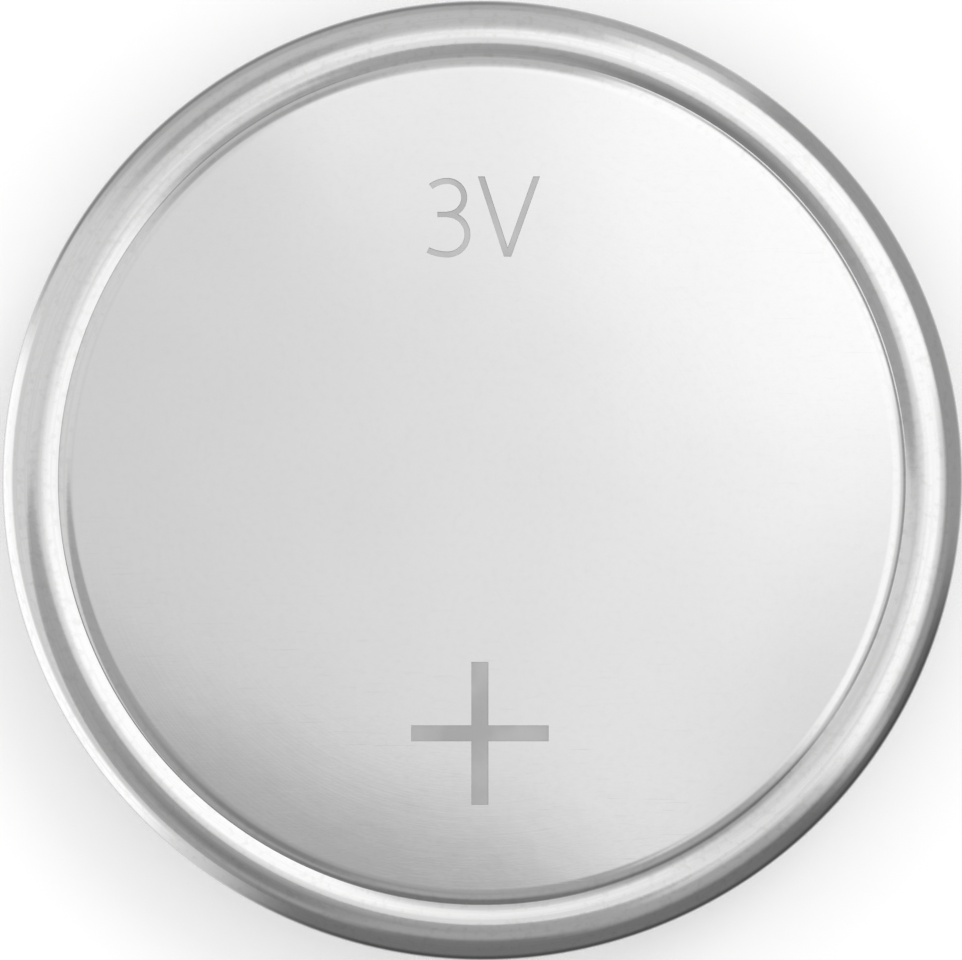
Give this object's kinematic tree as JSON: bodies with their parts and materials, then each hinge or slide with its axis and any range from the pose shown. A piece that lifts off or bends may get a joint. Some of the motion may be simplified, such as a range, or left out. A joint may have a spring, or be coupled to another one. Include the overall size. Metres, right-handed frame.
{
  "type": "lithium coin cell",
  "caption": "Round sealed lithium coin cell: steel can with a raised positive face and a crimped edge, plastic gasket, stepped negative cap, and its electrodes inside.",
  "frame": {"origin": "centre of the flat negative contact face, which is the cell's lowest plane", "axes": "+Z along the cell's axis, out of the positive face; +Y towards the upper mark on the positive face, +X to the right of the marks"},
  "size_m": [0.02, 0.02, 0.0032],
  "materials": {
    "can_steel": "nickel-plated, satin face with a bright rim",
    "cap_steel": "nickel-plated, satin",
    "gasket_plastic": "natural polypropylene",
    "lithium": "soft rolled metal, dull",
    "separator_fleece": "non-woven fleece",
    "pellet_black": "pressed powder, matt",
    "grid_steel": "expanded metal, plain"
  },
  "bodies": {
    "root": {"positive_can": "can_steel", "negative_cap": "cap_steel", "sealing_gasket": "gasket_plastic", "lithium_anode": "lithium", "separator": "separator_fleece", "cathode_pellet": "pellet_black", "current_collector": "grid_steel"}
  },
  "joints": []
}
